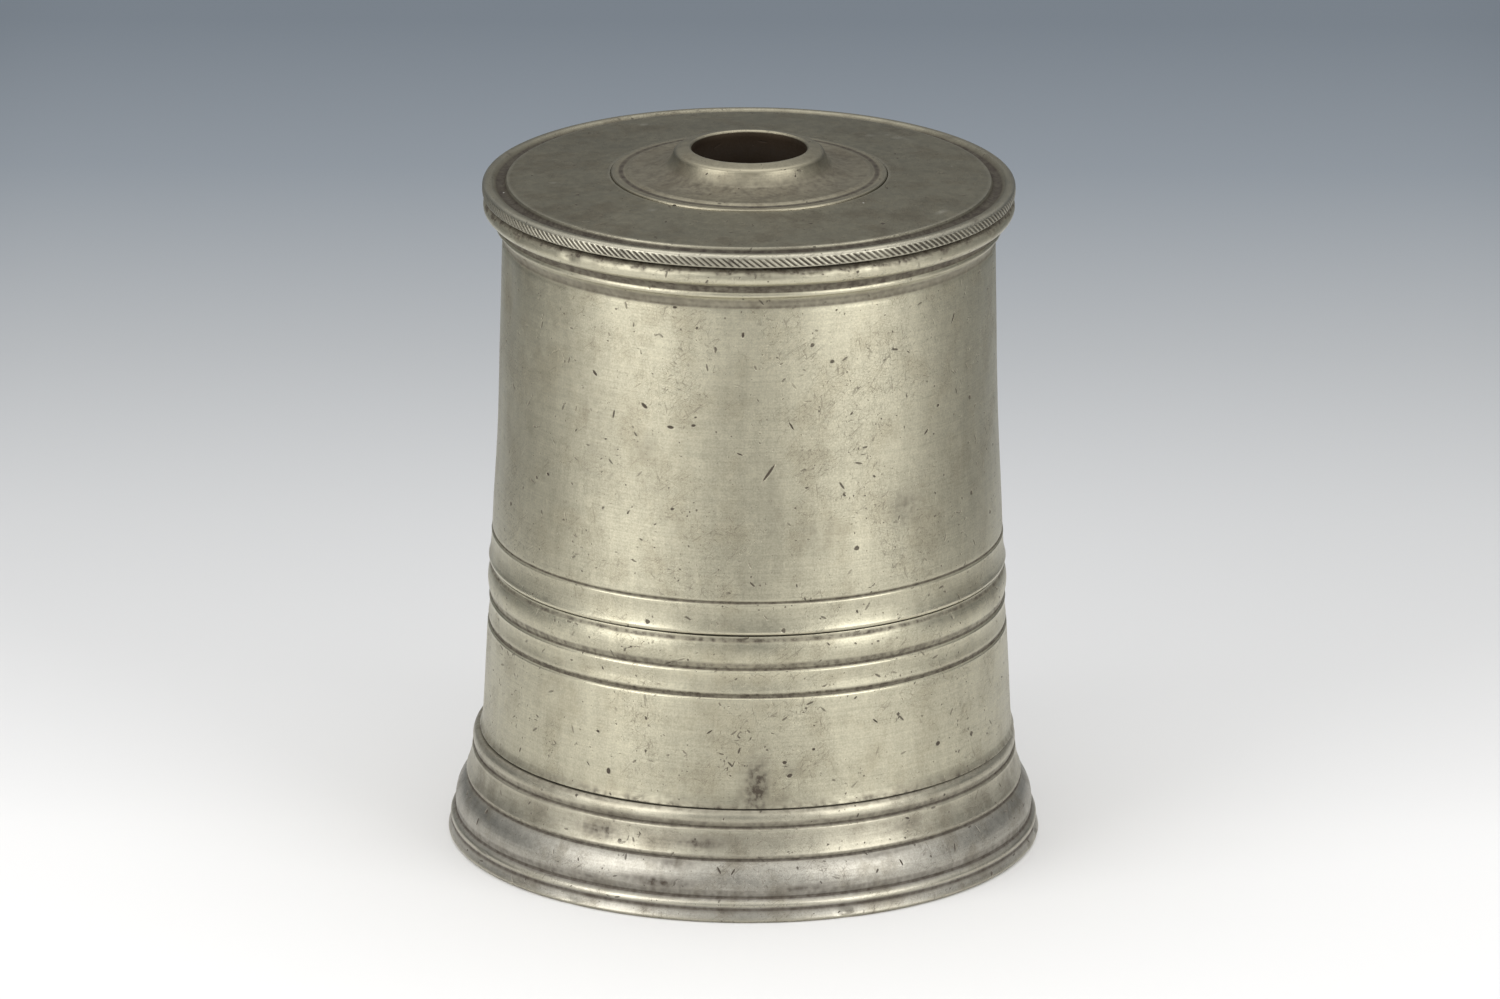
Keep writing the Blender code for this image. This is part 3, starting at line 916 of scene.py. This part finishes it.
def floor():
    """The pale floor, painted to fade to blue-grey behind the vessel as painted light falloff.

    Beyond the picture's edges it is painted darker on both sides and in front, where the drum mirrors it:
    painted shade.
    """
    mesh = bpy.data.meshes.new("studio_floor")
    side = 3.0
    corners = [(-side, -side, 0), (side, -side, 0), (side, side, 0), (-side, side, 0)]
    mesh.from_pydata(corners, [], [(0, 1, 2, 3)])
    p = Paint("Studio floor")
    away = p.make("SeparateXYZ", {0: p.place}).outputs["Y"]
    back = p.make("MapRange", {"Value": away, "From Min": -0.2, "From Max": 0.8}).outputs[0]
    fade = p.make("ValToRGB", {"Fac": back})
    # painted light falloff: the floor's colour steps from pale to blue-grey towards the back
    stops = (
        (0.00, (0.79, 0.785, 0.78)),
        (0.20, (0.80, 0.795, 0.79)),
        (0.32, (0.70, 0.70, 0.70)),
        (0.42, (0.60, 0.605, 0.61)),
        (0.56, (0.435, 0.45, 0.465)),
        (0.72, (0.265, 0.295, 0.33)),
        (0.86, (0.185, 0.215, 0.25)),
    )
    ramp = fade.color_ramp
    while len(ramp.elements) < len(stops):
        ramp.elements.new(0.5)
    for element, (at, colour) in zip(ramp.elements, stops):
        element.position = at
        element.color = clear(colour)
    # painted shade: darker in front of the vessel and beside it, out of the picture
    moved = p.make("VectorMath", {0: p.place, 1: (0, 0.48, 0)}).outputs[0]
    sized = p.make("VectorMath", {0: moved, 1: (1 / 0.17, 1 / 0.29, 0)}, operation="MULTIPLY").outputs[0]
    far = p.make("VectorMath", {0: sized}, operation="LENGTH").outputs["Value"]
    in_front = p.span(far, 0.25, 1.0, 0.4, 1.0)
    across = p.math("ABSOLUTE", p.make("SeparateXYZ", {0: p.place}).outputs["X"])
    beside = p.times(p.span(across, 0.17, 0.34), p.span(away, -0.22, 0.02), 0.50)
    shade = p.times(in_front, p.math("SUBTRACT", 1.0, beside))
    p.give(p.shader.inputs["Base Color"], p.shaded(fade.outputs["Color"], shade))
    p.shader.inputs["Roughness"].default_value = 0.7
    p.shader.inputs["Specular IOR Level"].default_value = 0.2
    mesh.materials.append(p.material)
    piece = bpy.data.objects.new("studio_floor", mesh)
    bpy.context.scene.collection.objects.link(piece)


def softbox(name, place, aim, size, radiance, colour=(1.0, 1.0, 1.0)):
    """A rectangular light: its width and height in metres, and how bright its face is."""
    light = bpy.data.lights.new(name, "AREA")
    light.shape = "RECTANGLE"
    light.size, light.size_y = size
    light.energy = radiance * math.pi * size[0] * size[1]
    light.color = colour
    lamp = bpy.data.objects.new(name, light)
    lamp.location = place
    lamp.rotation_euler = (Vector(aim) - Vector(place)).to_track_quat("-Z", "Y").to_euler()
    bpy.context.scene.collection.objects.link(lamp)


def surround():
    """Soft light from all round, strong overhead and in front, weak low down behind the vessel."""
    world = bpy.data.worlds.new("studio")
    bpy.context.scene.world = world
    world.use_nodes = True
    nodes, links = world.node_tree.nodes, world.node_tree.links
    towards = nodes.new("ShaderNodeTexCoord").outputs["Generated"]
    lit = nodes.new("ShaderNodeVectorMath")
    lit.operation = "DOT_PRODUCT"
    lit.inputs[1].default_value = (0.0, -0.12, 0.85)
    ramp = nodes.new("ShaderNodeValToRGB")
    links.new(towards, lit.inputs[0])
    links.new(lit.outputs["Value"], ramp.inputs["Fac"])
    ramp.color_ramp.interpolation = "EASE"
    for element, position, colour in zip(
        ramp.color_ramp.elements, (0.05, 0.75), ((0.14, 0.15, 0.16), (0.95, 0.95, 0.95))
    ):
        element.position = position
        element.color = clear(colour)
    backdrop = nodes["Background"]
    links.new(ramp.outputs["Color"], backdrop.inputs["Color"])
    backdrop.inputs["Strength"].default_value = 1.0


def camera():
    """A long lens a little above the vessel, level but for the photographer's slight tilt."""
    target = Vector((0.00112, 0.0, 0.07563))
    pitch = math.radians(17.71)
    roll = math.radians(0.251)
    ahead = Vector((0, math.cos(pitch), -math.sin(pitch)))
    right = Vector((1, 0, 0))
    up = right.cross(ahead)
    tilted_right = right * math.cos(roll) + up * math.sin(roll)
    tilted_up = up * math.cos(roll) - right * math.sin(roll)
    pose = Matrix((tilted_right, tilted_up, -ahead)).transposed().to_4x4()
    pose.translation = target - ahead * 2.8526
    lens = bpy.data.cameras.new("photo_camera")
    lens.lens = 312
    lens.sensor_width = 36
    lens.clip_start = 0.1
    eye = bpy.data.objects.new("photo_camera", lens)
    eye.matrix_world = pose
    bpy.context.scene.collection.objects.link(eye)
    bpy.context.scene.camera = eye


floor()
surround()
softbox("left_softbox", (-0.62, -0.50, 0.38), (0, 0, 0.08), (0.6, 0.72), 2.8)
softbox("right_softbox", (0.64, -0.55, 0.38), (0, 0, 0.08), (0.6, 0.72), 2.6)
softbox("top_softbox", (0, 0.1, 1.2), (0, 0, 0), (1.2, 1.0), 1.0)
camera()
bpy.context.scene.view_settings.view_transform = "Standard"
